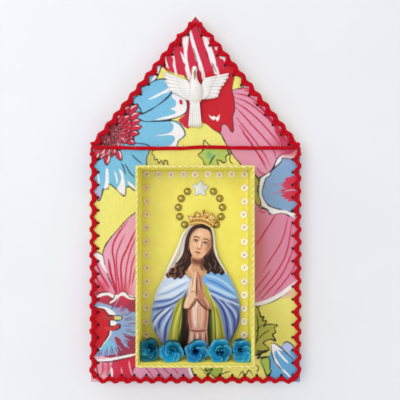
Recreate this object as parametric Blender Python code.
"""A folk wall shrine: a stitched, cloth-covered house panel that carries a shallow display tray.

Lengths are metres. +Z is up, the front faces -Y, and the wall it hangs on is the plane y = 0.
The origin is the centre of the backing board's rear face, behind the middle of the panel's square body.
"""

import math

import bmesh
import bpy
from mathutils import Vector

MM = 0.001

# Driving sizes of the house panel
PANEL_W = 160 * MM
BODY_H = 180 * MM
GABLE_H = 100 * MM
CORE_T = 5 * MM
FABRIC_T = 0.5 * MM
GAP = 0.3 * MM

# Backing board that lies on the wall
BOARD_W = 144 * MM
BOARD_H = 164 * MM
BOARD_T = 4 * MM

# Stitching
YARN_R = 1.1 * MM
YARN_TIGHT = 0.5
YARN_WRAP = 0.65
YARN_RISE = 0.9 * MM
STITCH_INSET = 4.8 * MM
STITCH_HOLE_R = 1.95 * MM
STRAND_STEP = 1.4 * MM
BOTTOM_STITCHES = 16
SIDE_STITCHES = 17
SIDE_TOP_CLEAR = 8 * MM
GABLE_STITCHES = 11
GABLE_START = 5 * MM
GABLE_END = 8.5 * MM
APEX_REACH = 4.2 * MM
EAVE_STITCHES = 8
EAVE_MARGIN = 4.8 * MM

# Display tray
TRAY_W = 85 * MM
TRAY_H = 144 * MM
TRAY_WALL = 2 * MM
TRAY_WALL_RISE = 27.5 * MM
TRAY_BACK_T = 1.6 * MM
TRAY_BOTTOM_GAP = 20 * MM
RIM_R = 1.2 * MM
RIM_CORNER = 1.6 * MM

# Picture card in the tray
PAD_T = 3 * MM
CARD_T = 1 * MM
CARD_FLOOR_GAP = 1 * MM

# Halo, star and sequins
HALO_CENTRE = (3.8 * MM, 42.2 * MM)
HALO_R = 16.8 * MM
HALO_FIRST_ANGLE = 54
HALO_STEP_ANGLE = 24.5
HALO_SIDE_COUNT = 5
BEAD_R = 2.95 * MM
BEAD_H = 2.7 * MM
STAR_R = 6.9 * MM
STAR_INNER = 0.47
STAR_T = 1.4 * MM
STAR_RISE = 15.9 * MM
STAR_LEAN = 4
SEQUIN_R = 2.9 * MM
SEQUIN_T = 0.5 * MM
SEQUIN_THREAD_W = 0.5 * MM
SEQUIN_THREAD_T = 0.25 * MM
SEQUIN_HALF_SPAN = 37.2 * MM
SEQUIN_TOP_COUNT = 9
SEQUIN_SIDE_COUNT = 12
SEQUIN_SIDE_STEP = 10.2 * MM
SEQUIN_TOP_DROP = 3.1 * MM

# Paper roses
ROSE_COUNT = 5
ROSE_R = 8 * MM
ROSE_STEP = 16.1 * MM
ROSE_DEPTH = 15 * MM
ROSE_LOBES = 5
ROSE_FLOOR_GAP = 0.5 * MM

# Dove
DOVE_X = 0.8 * MM
DOVE_TAIL_Z = 105 * MM
DOVE_H = 45 * MM
WING_T = 2.4 * MM
WING_LIFT = 2.6 * MM

# Hanger on the back of the gable
HANGER_Z = 125 * MM
PLATE_W = 8 * MM
PLATE_T = 0.7 * MM
PLATE_DROP = 15 * MM
KNUCKLE_BORE_R = 1.25 * MM
RING_WIRE_R = 0.9 * MM
RING_HALF_W = 7 * MM
RING_LEN = 25 * MM
TACK_HEAD_R = 1.7 * MM
TACK_HEAD_T = 0.6 * MM
TACK_SHANK_R = 0.6 * MM
TACK_SHANK_LEN = 4 * MM
TACK_HOLE_R = 0.95 * MM
TACK_DROPS = (5.5 * MM, 11.5 * MM)

# Depth levels, from the wall to the front
Y_BOARD_FRONT = -BOARD_T
Y_CORE_BACK = Y_BOARD_FRONT - GAP
Y_CORE_FRONT = Y_CORE_BACK - CORE_T
Y_FABRIC_FRONT = Y_CORE_FRONT - GAP - FABRIC_T
Y_ON_FABRIC = Y_FABRIC_FRONT - GAP
Y_TRAY_FLOOR = Y_ON_FABRIC - TRAY_BACK_T
Y_ON_FLOOR = Y_TRAY_FLOOR - GAP
Y_WALL_FRONT = Y_ON_FABRIC - TRAY_WALL_RISE
Y_RIM = Y_WALL_FRONT - GAP - RIM_R
Y_CARD_BACK = Y_ON_FLOOR - PAD_T - GAP
Y_CARD_FRONT = Y_CARD_BACK - CARD_T
Y_PLATE_FRONT = Y_CORE_BACK + GAP
KNUCKLE_R = KNUCKLE_BORE_R + PLATE_T
Y_KNUCKLE = Y_PLATE_FRONT + KNUCKLE_R

# Heights
Z_BOTTOM = -BODY_H / 2
Z_EAVE = BODY_H / 2
Z_APEX = Z_EAVE + GABLE_H
Z_TRAY_BOTTOM = Z_BOTTOM + TRAY_BOTTOM_GAP
Z_TRAY_TOP = Z_TRAY_BOTTOM + TRAY_H
TRAY_IN_W = TRAY_W - 2 * TRAY_WALL
Z_TRAY_FLOOR = Z_TRAY_BOTTOM + TRAY_WALL
Z_TRAY_CEILING = Z_TRAY_TOP - TRAY_WALL

# Colours as linear red, green, blue, with roughness and metallic
FINISHES = {
    "printed_cotton": ((0.80, 0.62, 0.12), 0.85, 0.0),
    "brown_card": ((0.42, 0.30, 0.18), 0.9, 0.0),
    "yellow_card": ((0.80, 0.70, 0.10), 0.6, 0.0),
    "red_yarn": ((0.55, 0.01, 0.02), 0.9, 0.0),
    "yellow_cord": ((0.85, 0.74, 0.22), 0.8, 0.0),
    "print_card": ((0.40, 0.47, 0.72), 0.45, 0.0),
    "white_foam": ((0.85, 0.85, 0.83), 0.9, 0.0),
    "gold_bead": ((0.60, 0.43, 0.12), 0.3, 0.6),
    "pearl_star": ((0.82, 0.82, 0.84), 0.25, 0.0),
    "pale_sequin": ((0.88, 0.78, 0.74), 0.3, 0.0),
    "blue_paper": ((0.02, 0.30, 0.52), 0.7, 0.0),
    "white_plastic": ((0.82, 0.80, 0.76), 0.4, 0.0),
    "brass": ((0.70, 0.52, 0.22), 0.35, 1.0),
}


def clear_scene():
    """Remove everything the scene starts with."""
    for obj in list(bpy.data.objects):
        bpy.data.objects.remove(obj)


def finish(name):
    """The material of one finish, made once and shared by its pieces."""
    material = bpy.data.materials.get(name)
    if material is None:
        colour, roughness, metallic = FINISHES[name]
        material = bpy.data.materials.new(name)
        material.use_nodes = True
        shader = material.node_tree.nodes["Principled BSDF"]
        shader.inputs["Base Color"].default_value = (*colour, 1)
        shader.inputs["Roughness"].default_value = roughness
        shader.inputs["Metallic"].default_value = metallic
    return material


def add_object(name, data, finish_name=None):
    """Link a new object that holds this mesh or curve."""
    obj = bpy.data.objects.new(name, data)
    bpy.context.scene.collection.objects.link(obj)
    if finish_name:
        data.materials.append(finish(finish_name))
    return obj


def mesh_object(name, shape, finish_name=None, smooth=False):
    """Turn a bmesh into an object with its faces pointing out."""
    bmesh.ops.recalc_face_normals(shape, faces=shape.faces)
    mesh = bpy.data.meshes.new(name)
    shape.to_mesh(mesh)
    shape.free()
    if smooth:
        mesh.shade_smooth()
        mesh.set_sharp_from_angle(angle=math.radians(40))
    return add_object(name, mesh, finish_name)


def add_prism(shape, outline, y_front, y_back):
    """Add a straight prism of an outline of (x, z) points to a bmesh."""
    front = [shape.verts.new((x, y_front, z)) for x, z in outline]
    back = [shape.verts.new((x, y_back, z)) for x, z in outline]
    shape.faces.new(front)
    shape.faces.new(back[::-1])
    for i in range(len(outline)):
        j = (i + 1) % len(outline)
        shape.faces.new((front[i], back[i], back[j], front[j]))


def prism(name, outline, y_front, y_back, finish_name=None):
    """A node made of one straight prism."""
    shape = bmesh.new()
    add_prism(shape, outline, y_front, y_back)
    return mesh_object(name, shape, finish_name)


def rectangle(x_low, z_low, x_high, z_high):
    """The four corners of an upright rectangle, as (x, z) points."""
    return [(x_low, z_low), (x_high, z_low), (x_high, z_high), (x_low, z_high)]


def ring_points(x, z, radius, sides, turn=0.0):
    """Points evenly spaced on a circle, as (x, z) points."""
    angles = [turn + math.tau * i / sides for i in range(sides)]
    return [(x + radius * math.cos(a), z + radius * math.sin(a)) for a in angles]


def cut(obj, cutter):
    """Take the cutter's volume out of an object."""
    cutter.hide_render = True
    cutter.display_type = "WIRE"
    change = obj.modifiers.new("cut_" + cutter.name, "BOOLEAN")
    change.operation = "DIFFERENCE"
    change.object = cutter


def tube(name, points, radius, finish_name, sides=4, widths=None, closed=False):
    """A round tube along a run of points, with an optional width factor at each."""
    curve = bpy.data.curves.new(name, "CURVE")
    curve.dimensions = "3D"
    curve.bevel_depth = radius
    curve.bevel_resolution = (sides - 4) // 2
    curve.use_fill_caps = True
    spline = curve.splines.new("POLY")
    spline.points.add(len(points) - 1)
    for i, point in enumerate(points):
        spline.points[i].co = (*point, 1)
        spline.points[i].radius = widths[i] if widths else 1.0
    spline.use_cyclic_u = closed
    return add_object(name, curve, finish_name)


# House panel


def house_outline(inset=0.0):
    """The five corners of the house, drawn in by an inset, as (x, z) points from the lower left."""
    half = PANEL_W / 2
    corners = [(-half, Z_BOTTOM), (-half, Z_EAVE), (0, Z_APEX), (half, Z_EAVE), (half, Z_BOTTOM)]
    sides = []
    for i, start in enumerate(corners):
        a, b = Vector(start), Vector(corners[(i + 1) % len(corners)])
        along = (b - a).normalized()
        sides.append((a + Vector((along.y, -along.x)) * inset, along))
    drawn_in = []
    for i, (b, along_b) in enumerate(sides):
        a, along_a = sides[i - 1]
        cross = along_a.x * along_b.y - along_a.y * along_b.x
        reach = ((b.x - a.x) * along_b.y - (b.y - a.y) * along_b.x) / cross
        drawn_in.append(tuple(a + along_a * reach))
    return drawn_in


class Stitch:
    """One stitch hole, with the way the edge runs before and after it and the reach to each wrap."""

    def __init__(self, hole, before, after, reach_before, reach_after):
        self.hole = Vector(hole)
        self.before = before
        self.after = after
        self.reach_before = reach_before
        self.reach_after = reach_after

    def wrap(self, side):
        """(point on the edge, outward direction) where a strand goes over the edge."""
        along, reach = (self.before, -self.reach_before) if side < 0 else (self.after, self.reach_after)
        outward = Vector((-along.y, along.x))
        return self.hole + outward * STITCH_INSET + along * reach, outward

    def seat(self, side):
        """Where a strand stands in the hole, so that the two strands lie clear of each other."""
        along = self.before if side < 0 else self.after
        outward = Vector((-along.y, along.x))
        return self.hole + along * (0.35 * MM * side) - outward * (0.62 * MM * -side)


def run_of_holes(start, end, first, last, count):
    """Evenly spaced hole places on a straight run, with the direction of the run."""
    a, b = Vector(start), Vector(end)
    along = (b - a).normalized()
    length = (b - a).length - first - last
    return [a + along * (first + length * i / count) for i in range(count + 1)], along


def edge_stitches():
    """Every stitch round the house, clockwise from the lower left corner."""
    low_left, eave_left, apex, eave_right, low_right = house_outline(STITCH_INSET)
    runs = [
        run_of_holes(low_left, eave_left, 0, SIDE_TOP_CLEAR, SIDE_STITCHES),
        run_of_holes(eave_left, apex, GABLE_START, GABLE_END, GABLE_STITCHES),
        run_of_holes(apex, eave_right, GABLE_END, GABLE_START, GABLE_STITCHES),
        run_of_holes(eave_right, low_right, SIDE_TOP_CLEAR, 0, SIDE_STITCHES),
        run_of_holes(low_right, low_left, 0, 0, BOTTOM_STITCHES),
    ]
    stitches = []
    for holes, along in runs:
        reach = (holes[1] - holes[0]).length / 2 - STRAND_STEP
        for hole in holes:
            if stitches and (stitches[-1].hole - hole).length < MM:
                stitches[-1].after = along
                stitches[-1].reach_after = reach
            else:
                stitches.append(Stitch(hole, along, along, reach, reach))
    first, last = stitches[0], stitches.pop()
    first.before = last.before
    first.reach_before = last.reach_before
    stitches[SIDE_STITCHES + 1 + GABLE_STITCHES].reach_after = APEX_REACH
    stitches[SIDE_STITCHES + 2 + GABLE_STITCHES].reach_before = APEX_REACH
    return stitches


def eave_holes():
    """The hole places of the straight line of stitches below the gable."""
    half = PANEL_W / 2 - EAVE_MARGIN
    step = 2 * half / EAVE_STITCHES
    return [Vector((-half + step * (i + 0.5), Z_EAVE)) for i in range(EAVE_STITCHES)]


def stitch_hole_cutter(stitches):
    """All the stitch holes as square pins that pass right through the panel and its cover."""
    shape = bmesh.new()
    for stitch in stitches:
        turn = math.atan2(stitch.after.y, stitch.after.x)
        add_prism(shape, ring_points(*stitch.hole, STITCH_HOLE_R, 4, turn), Y_FABRIC_FRONT - MM, Y_CORE_BACK + MM)
    for hole in eave_holes():
        add_prism(shape, ring_points(*hole, STITCH_HOLE_R, 4), Y_FABRIC_FRONT - MM, Y_CORE_BACK + MM)
    return mesh_object("stitch_hole_cutter", shape)


def build_panel(stitches):
    """The card core, its cloth cover and the backing board."""
    holes = stitch_hole_cutter(stitches)
    cloth_inset = FABRIC_T + GAP
    core = prism("panel_core", house_outline(cloth_inset), Y_CORE_FRONT, Y_CORE_BACK, "brown_card")
    cut(core, holes)
    cut(core, tack_hole_cutter())
    cover = prism("fabric_cover", house_outline(), Y_FABRIC_FRONT, Y_CORE_BACK, "printed_cotton")
    inside = prism("fabric_inside_cutter", house_outline(FABRIC_T), Y_FABRIC_FRONT + FABRIC_T, Y_CORE_BACK + MM)
    cut(cover, inside)
    cut(cover, holes)
    half = BOARD_W / 2
    board = rectangle(-half, -BOARD_H / 2, half, BOARD_H / 2)
    prism("back_board", board, Y_BOARD_FRONT, 0, "brown_card")


def build_edge_yarn(stitches):
    """One yarn that goes over the edge twice from each hole, so that it lies in a zigzag."""
    y_front = Y_FABRIC_FRONT - GAP - YARN_R
    y_back = Y_CORE_BACK + GAP + YARN_R * YARN_TIGHT
    wrap_out = GAP + YARN_R * YARN_WRAP
    points, widths = [], []

    def lay(place, y, width):
        points.append((place.x, y, place.y))
        widths.append(width)

    for stitch in stitches:
        for side in (-1, 1):
            seat = stitch.seat(side)
            edge, outward = stitch.wrap(side)
            lay(seat, y_back, YARN_TIGHT)
            lay(seat, Y_FABRIC_FRONT - YARN_RISE, YARN_TIGHT)
            lay(seat.lerp(edge, 0.35), y_front, 1.0)
            lay(edge + outward * wrap_out, Y_FABRIC_FRONT - wrap_out, YARN_WRAP)
            lay(edge + outward * wrap_out, Y_CORE_BACK + wrap_out, YARN_WRAP)
    return tube("edge_yarn", points, YARN_R, "red_yarn", widths=widths)


def build_eave_yarn():
    """The straight line of long stitches at the foot of the gable, with a small dip at every hole."""
    y_front = Y_FABRIC_FRONT - GAP - YARN_R
    half = PANEL_W / 2 - EAVE_MARGIN
    points, widths = [(-half, y_front, Z_EAVE)], [1.0]
    for hole in eave_holes():
        for shift, dip, width in ((-2.6 * MM, 0, 1.0), (0, 0.75 * MM, 0.75), (2.6 * MM, 0, 1.0)):
            points.append((hole.x + shift, y_front + dip, Z_EAVE))
            widths.append(width)
    points.append((half, y_front, Z_EAVE))
    widths.append(1.0)
    return tube("eave_yarn", points, YARN_R, "red_yarn", sides=6, widths=widths)


# Display tray


def build_tray():
    """The tray's floor, its four walls and the cord along their rim."""
    half_in = TRAY_IN_W / 2
    half_out = TRAY_W / 2
    floor = rectangle(-half_in + GAP, Z_TRAY_FLOOR + GAP, half_in - GAP, Z_TRAY_CEILING - GAP)
    prism("tray_back", floor, Y_TRAY_FLOOR, Y_ON_FABRIC, "yellow_card")
    walls = {
        "tray_wall_left": rectangle(-half_out, Z_TRAY_BOTTOM, -half_in, Z_TRAY_TOP),
        "tray_wall_right": rectangle(half_in, Z_TRAY_BOTTOM, half_out, Z_TRAY_TOP),
        "tray_wall_bottom": rectangle(-half_in + GAP, Z_TRAY_BOTTOM, half_in - GAP, Z_TRAY_FLOOR),
        "tray_wall_top": rectangle(-half_in + GAP, Z_TRAY_CEILING, half_in - GAP, Z_TRAY_TOP),
    }
    for name, outline in walls.items():
        prism(name, outline, Y_WALL_FRONT, Y_ON_FABRIC, "yellow_card")
    build_rim_cord()


def build_rim_cord():
    """A closed loop of cord on the middle line of the walls."""
    half_x = (TRAY_W - TRAY_WALL) / 2 - RIM_CORNER
    low = Z_TRAY_BOTTOM + TRAY_WALL / 2 + RIM_CORNER
    high = Z_TRAY_TOP - TRAY_WALL / 2 - RIM_CORNER
    corners = [(half_x, high, 0), (-half_x, high, 90), (-half_x, low, 180), (half_x, low, 270)]
    points = []
    for x, z, start in corners:
        for turn in (0, 45, 90):
            angle = math.radians(start + turn)
            points.append((x + RIM_CORNER * math.cos(angle), Y_RIM, z + RIM_CORNER * math.sin(angle)))
    tube("rim_cord", points, RIM_R, "yellow_cord", sides=6, closed=True)


# Picture card


def crown_outline():
    """The crown's cut outline from its left foot over the points to its right foot, as (x, z) points in mm."""
    return [(-3.6, 31), (-6.4, 38), (-2.2, 36.6), (0.6, 41), (4, 38.6), (6.6, 42.6), (9.2, 38.4), (12.8, 40.2),
            (14.4, 35.6), (18.4, 36), (13, 29)]


def mantle_outline(side):
    """One side of the veil and mantle from the brow down to the hem, as (x, z) points in mm."""
    if side < 0:
        return [(-9.4, 24.4), (-13.2, 15.4), (-17.6, 5.6), (-21.4, -2), (-25, -11), (-29.7, -20), (-32.7, -32),
                (-33.4, -40), (-32, -47.5), (-28.2, -54), (-24.4, -60)]
    return [(14.4, 22.5), (15, 14), (17.2, 5.6), (21.6, -2), (26.8, -11), (31.2, -20), (33.6, -30), (33.6, -40),
            (31.4, -47.5), (28.2, -54), (24.4, -60)]


def card_outline():
    """The whole cut outline of the crowned and veiled figure, clockwise from the crown's left foot."""
    hem = (Z_TRAY_FLOOR + CARD_FLOOR_GAP) / MM
    foot = [(19, hem), (-19, hem)]
    run = crown_outline() + mantle_outline(1) + foot + mantle_outline(-1)[::-1]
    return [(x * MM, z * MM) for x, z in run]


def build_picture():
    """The cut-out picture card on its two foam pads."""
    prism("figure_card", card_outline(), Y_CARD_FRONT, Y_CARD_BACK, "print_card")
    for name, z, half in (("figure_pad_upper", 14 * MM, 6 * MM), ("figure_pad_lower", -42 * MM, 9 * MM)):
        pad = rectangle(-half, z - half, half, z + half)
        prism(name, pad, Y_ON_FLOOR - PAD_T, Y_ON_FLOOR, "white_foam")


# Halo and sequins


def build_bead(name, x, z):
    """A half bead with its flat side on the tray floor."""
    profile = [(1.0, 0.0), (0.98, 0.32), (0.8, 0.68), (0.45, 0.92)]
    sides = 10
    shape = bmesh.new()
    rings = []
    for wide, high in profile:
        y = Y_ON_FLOOR - high * BEAD_H
        rings.append([shape.verts.new((px, y, pz)) for px, pz in ring_points(x, z, wide * BEAD_R, sides)])
    tip = shape.verts.new((x, Y_ON_FLOOR - BEAD_H, z))
    shape.faces.new(rings[0])
    for low, high in zip(rings, rings[1:]):
        for i in range(sides):
            j = (i + 1) % sides
            shape.faces.new((low[i], low[j], high[j], high[i]))
    for i in range(sides):
        shape.faces.new((rings[-1][i], rings[-1][(i + 1) % sides], tip))
    return mesh_object(name, shape, "gold_bead", smooth=True)


def build_halo():
    """Gold beads up both sides of the head, and the star between them."""
    x, z = HALO_CENTRE
    for side, mirror in (("right", 1), ("left", -1)):
        for i in range(HALO_SIDE_COUNT):
            angle = math.radians(HALO_FIRST_ANGLE - i * HALO_STEP_ANGLE)
            place = (x + mirror * HALO_R * math.cos(angle), z + HALO_R * math.sin(angle))
            build_bead(f"halo_bead_{side}_{i + 1}", *place)
    points = []
    for i in range(10):
        angle = math.radians(90 - STAR_LEAN + 36 * i)
        radius = STAR_R if i % 2 == 0 else STAR_R * STAR_INNER
        points.append((x + radius * math.cos(angle), z + STAR_RISE + radius * math.sin(angle)))
    prism("star", points, Y_ON_FLOOR - STAR_T, Y_ON_FLOOR, "pearl_star")


def build_sequin_row(name, start, step, count):
    """A row of sequins sewn on with one thread, which joins them."""
    sides = 8
    dx, dz = step
    along = Vector(step).normalized()
    across = Vector((-along.y, along.x)) * (SEQUIN_THREAD_W / 2)
    shape = bmesh.new()
    discs = []
    for i in range(count):
        centre = Vector((start[0] + dx * i, start[1] + dz * i))
        turn = math.atan2(dz, dx) + math.pi / sides
        discs.append((centre, ring_points(*centre, SEQUIN_R, sides, turn)))
    first, last = discs[0][0] - along * MM, discs[-1][0] + along * MM
    thread = [first - across, last - across, last + across, first + across]
    add_prism(shape, [tuple(p) for p in thread], Y_ON_FLOOR - SEQUIN_THREAD_T, Y_ON_FLOOR)
    row = mesh_object(name, shape, "pale_sequin")
    plates = bmesh.new()
    for centre, outline in discs:
        add_prism(plates, outline, Y_ON_FLOOR - SEQUIN_T, Y_ON_FLOOR - 0.1 * MM)
    joined = mesh_object(name + "_discs", plates)
    joined.hide_render = True
    joined.display_type = "WIRE"
    union = row.modifiers.new("sew_on", "BOOLEAN")
    union.operation = "UNION"
    union.object = joined


def build_sequins():
    """Sequins along the top and down both sides of the tray floor."""
    z_top = Z_TRAY_CEILING - SEQUIN_TOP_DROP
    step = 2 * SEQUIN_HALF_SPAN / (SEQUIN_TOP_COUNT - 1)
    build_sequin_row("sequin_row_top", (-SEQUIN_HALF_SPAN, z_top), (step, 0), SEQUIN_TOP_COUNT)
    for side, x in (("left", -SEQUIN_HALF_SPAN), ("right", SEQUIN_HALF_SPAN)):
        start = (x, z_top - SEQUIN_SIDE_STEP)
        build_sequin_row(f"sequin_row_{side}", start, (0, -SEQUIN_SIDE_STEP), SEQUIN_SIDE_COUNT)


# Paper roses


def rose_tiers():
    """Rings from the back of a rose to its bud: width, height and how strongly the petals scallop it."""
    return [(0.30, 0.00, 0.0), (0.72, 0.30, 0.4), (1.00, 0.62, 1.0), (0.74, 0.55, 0.6), (0.70, 0.84, 0.9),
            (0.44, 0.70, 0.3), (0.36, 1.00, 0.5), (0.16, 0.86, 0.0)]


def build_rose(name, x, turn):
    """A paper rose that faces the front: a scalloped dish, a cup and a bud in one closed form."""
    sides = 15
    scallop = 0.06
    z = Z_TRAY_FLOOR + ROSE_FLOOR_GAP + ROSE_R
    y_back = Y_CARD_FRONT - 2 * MM
    shape = bmesh.new()
    rings = []
    for tier, (wide, high, lobed) in enumerate(rose_tiers()):
        ring = []
        for i in range(sides):
            angle = math.tau * i / sides
            wave = math.cos(ROSE_LOBES * angle + tier * 0.8)
            radius = ROSE_R * wide * (1 - scallop * lobed * (1 - wave) / 2)
            place = angle + turn
            ring.append(shape.verts.new((
                x + radius * math.cos(place),
                y_back - ROSE_DEPTH * (high + 0.04 * lobed * wave),
                z + radius * math.sin(place),
            )))
        rings.append(ring)
    shape.faces.new(rings[0])
    shape.faces.new(rings[-1])
    for low, high in zip(rings, rings[1:]):
        for i in range(sides):
            j = (i + 1) % sides
            shape.faces.new((low[i], low[j], high[j], high[i]))
    return mesh_object(name, shape, "blue_paper", smooth=True)


def build_roses():
    """A row of roses along the foot of the tray."""
    for i in range(ROSE_COUNT):
        build_rose(f"rose_{i + 1}", (i - (ROSE_COUNT - 1) / 2) * ROSE_STEP, 1.3 * i)


# Dove


def dove_sections():
    """Cross sections from tail tip to crown: share of the height, half width and depth in mm."""
    return [(0.00, 5.6, 1.6), (0.16, 4.4, 2.4), (0.30, 3.6, 3.6), (0.40, 5.2, 7.6), (0.52, 6.6, 11.6),
            (0.64, 6.2, 12.4), (0.76, 4.0, 10.4), (0.86, 3.3, 9.4), (0.94, 3.2, 9.0), (1.00, 1.4, 7.2)]


def wing_outline():
    """The right wing from its root round the leading edge to the stepped feathers, in mm from the dove's middle."""
    return [(2.5, 33.5), (8, 36), (14, 37), (19.5, 39), (25.4, 42.2), (24.6, 38.6), (22.4, 36.2), (22.2, 33.8),
            (19.4, 31.8), (18.8, 29.2), (15.8, 27.4), (14.4, 24.8), (11.2, 23.6), (8.6, 21.4), (3, 20.6)]


def build_dove():
    """A moulded dove with spread wings, lying on the gable with its head up."""
    sides = 12
    y_back = Y_ON_FABRIC
    shape = bmesh.new()
    rings = []
    for share, half, depth in dove_sections():
        ring = []
        for i in range(sides):
            angle = math.tau * i / sides
            y = y_back - depth * MM * (0.5 - 0.5 * math.cos(angle))
            ring.append(shape.verts.new((DOVE_X + half * MM * math.sin(angle), y, DOVE_TAIL_Z + share * DOVE_H)))
        rings.append(ring)
    shape.faces.new(rings[0])
    shape.faces.new(rings[-1])
    for low, high in zip(rings, rings[1:]):
        for i in range(sides):
            j = (i + 1) % sides
            shape.faces.new((low[i], low[j], high[j], high[i]))
    dove = mesh_object("dove", shape, "white_plastic", smooth=True)
    for side, mirror in (("left", -1), ("right", 1)):
        outline = [(DOVE_X + mirror * x * MM, DOVE_TAIL_Z + z * MM) for x, z in wing_outline()]
        wing = prism(f"dove_wing_{side}", outline, y_back - WING_LIFT - WING_T, y_back - WING_LIFT)
        wing.hide_render = True
        wing.display_type = "WIRE"
        union = dove.modifiers.new(f"wing_{side}", "BOOLEAN")
        union.operation = "UNION"
        union.object = wing


# Hanger


def tack_hole_cutter():
    """The two blind holes that hold the hanger's tacks, which also pass through its plate."""
    shape = bmesh.new()
    for drop in TACK_DROPS:
        outline = ring_points(0, HANGER_Z - drop, TACK_HOLE_R, 8)
        add_prism(shape, outline, Y_CORE_BACK - TACK_SHANK_LEN - GAP, 0)
    return mesh_object("tack_hole_cutter", shape)


def plate_profile():
    """The hanger plate's side profile as (y, z) points: a flat strip with its top curled into a knuckle."""
    bottom = HANGER_Z - PLATE_DROP
    inside, outside = [], []
    steps = 9
    for i in range(steps + 1):
        angle = math.radians(180 - 270 * i / steps)
        for radius, points in ((KNUCKLE_BORE_R, inside), (KNUCKLE_R, outside)):
            points.append((Y_KNUCKLE + radius * math.cos(angle), HANGER_Z + radius * math.sin(angle)))
    strip = [(Y_PLATE_FRONT, bottom), (Y_PLATE_FRONT + PLATE_T, bottom)]
    return strip + inside + outside[::-1]


def build_hanger():
    """A brass plate with a curled knuckle, the ring that swings in it, and the two tacks that hold it."""
    shape = bmesh.new()
    half = PLATE_W / 2
    near = [shape.verts.new((-half, y, z)) for y, z in plate_profile()]
    far = [shape.verts.new((half, y, z)) for y, z in plate_profile()]
    shape.faces.new(near)
    shape.faces.new(far[::-1])
    for i in range(len(near)):
        j = (i + 1) % len(near)
        shape.faces.new((near[i], near[j], far[j], far[i]))
    plate = mesh_object("hanger_plate", shape, "brass")
    cut(plate, tack_hole_cutter())
    for i, drop in enumerate(TACK_DROPS):
        build_tack(f"hanger_tack_{i + 1}", HANGER_Z - drop)
    build_ring()


def build_tack(name, z):
    """A short tack with a flat head, driven in from the back."""
    y_seat = Y_PLATE_FRONT + PLATE_T + GAP
    y_head = y_seat + TACK_HEAD_T
    y_tip = Y_CORE_BACK - TACK_SHANK_LEN
    profile = [(TACK_HEAD_R, y_head), (TACK_HEAD_R, y_seat), (TACK_SHANK_R, y_seat), (TACK_SHANK_R, y_tip + MM)]
    sides = 8
    shape = bmesh.new()
    rings = [[shape.verts.new((px, y, pz)) for px, pz in ring_points(0, z, radius, sides)] for radius, y in profile]
    tip = shape.verts.new((0, y_tip, z))
    shape.faces.new(rings[0])
    for low, high in zip(rings, rings[1:]):
        for i in range(sides):
            j = (i + 1) % sides
            shape.faces.new((low[i], low[j], high[j], high[i]))
    for i in range(sides):
        shape.faces.new((rings[-1][i], rings[-1][(i + 1) % sides], tip))
    return mesh_object(name, shape, "brass")


def build_ring():
    """The wire ring, hanging down from an empty on the knuckle's axis."""
    pivot = bpy.data.objects.new("hanger_pivot", None)
    pivot.location = (0, Y_KNUCKLE, HANGER_Z)
    bpy.context.scene.collection.objects.link(pivot)
    corner = 2 * MM
    foot = RING_LEN - RING_HALF_W
    points = [(-RING_HALF_W + corner, 0, 0), (RING_HALF_W - corner, 0, 0), (RING_HALF_W, 0, -corner)]
    for i in range(9):
        angle = -math.pi * i / 8
        points.append((RING_HALF_W * math.cos(angle), 0, -foot + RING_HALF_W * math.sin(angle)))
    points.append((-RING_HALF_W, 0, -corner))
    ring = tube("hanger_ring", points, RING_WIRE_R, "brass", sides=8, closed=True)
    ring.parent = pivot


def main():
    """Build every piece in place."""
    clear_scene()
    stitches = edge_stitches()
    build_panel(stitches)
    build_edge_yarn(stitches)
    build_eave_yarn()
    build_tray()
    build_picture()
    build_halo()
    build_sequins()
    build_roses()
    build_dove()
    build_hanger()


main()
